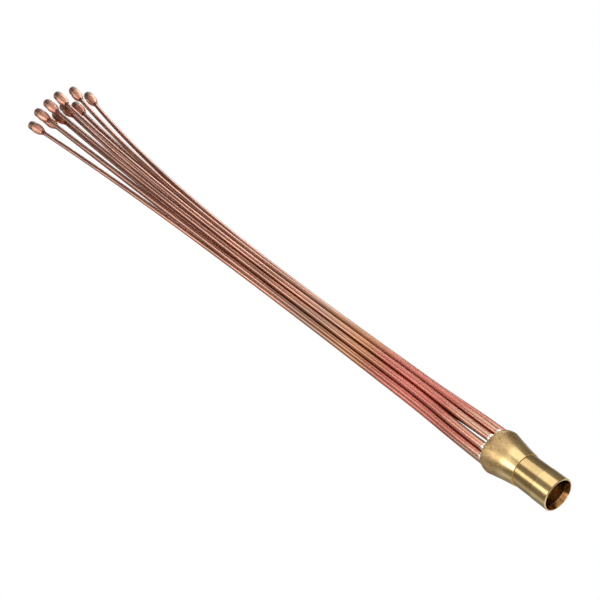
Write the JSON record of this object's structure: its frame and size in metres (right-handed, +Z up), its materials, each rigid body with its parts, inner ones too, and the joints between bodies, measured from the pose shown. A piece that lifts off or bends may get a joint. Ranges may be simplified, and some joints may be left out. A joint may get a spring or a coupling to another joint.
{
  "type": "refrigerant distributor",
  "caption": "Turned brass refrigerant distributor whose flared head feeds a fan of equal copper lead tubes, each ending in a domed copper cup for a coil tube.",
  "frame": {"origin": "on the inlet's axis where the socket's wall starts, just inside the mouth", "axes": "+X along the body's axis from the inlet mouth towards the lead tips, +Z up, with the part lying on a flat surface at z = -13.3 mm"},
  "size_m": [0.8349, 0.0901, 0.0325],
  "materials": {
    "turned_brass": "turned brass, lightly tarnished, with heat stain near the leads",
    "copper_tube": "drawn copper tube, red oxide near the body and brown towards the tips",
    "copper_cup": "spun copper cup, dull brown-red oxide",
    "silver_braze": "silver-bearing braze, bright",
    "copper_braze": "copper-phosphorus braze, dark"
  },
  "bodies": {
    "root": {"distributor_body": "turned_brass", "lead_tube_1": "copper_tube", "lead_tube_2": "copper_tube", "lead_tube_3": "copper_tube", "lead_tube_4": "copper_tube", "lead_tube_5": "copper_tube", "lead_tube_6": "copper_tube", "lead_tube_7": "copper_tube", "lead_tube_8": "copper_tube", "lead_tube_9": "copper_tube", "lead_tube_10": "copper_tube", "end_cup_1": "copper_cup", "end_cup_2": "copper_cup", "end_cup_3": "copper_cup", "end_cup_4": "copper_cup", "end_cup_5": "copper_cup", "end_cup_6": "copper_cup", "end_cup_7": "copper_cup", "end_cup_8": "copper_cup", "end_cup_9": "copper_cup", "end_cup_10": "copper_cup", "body_braze": "silver_braze", "cup_braze": "copper_braze"}
  },
  "joints": []
}
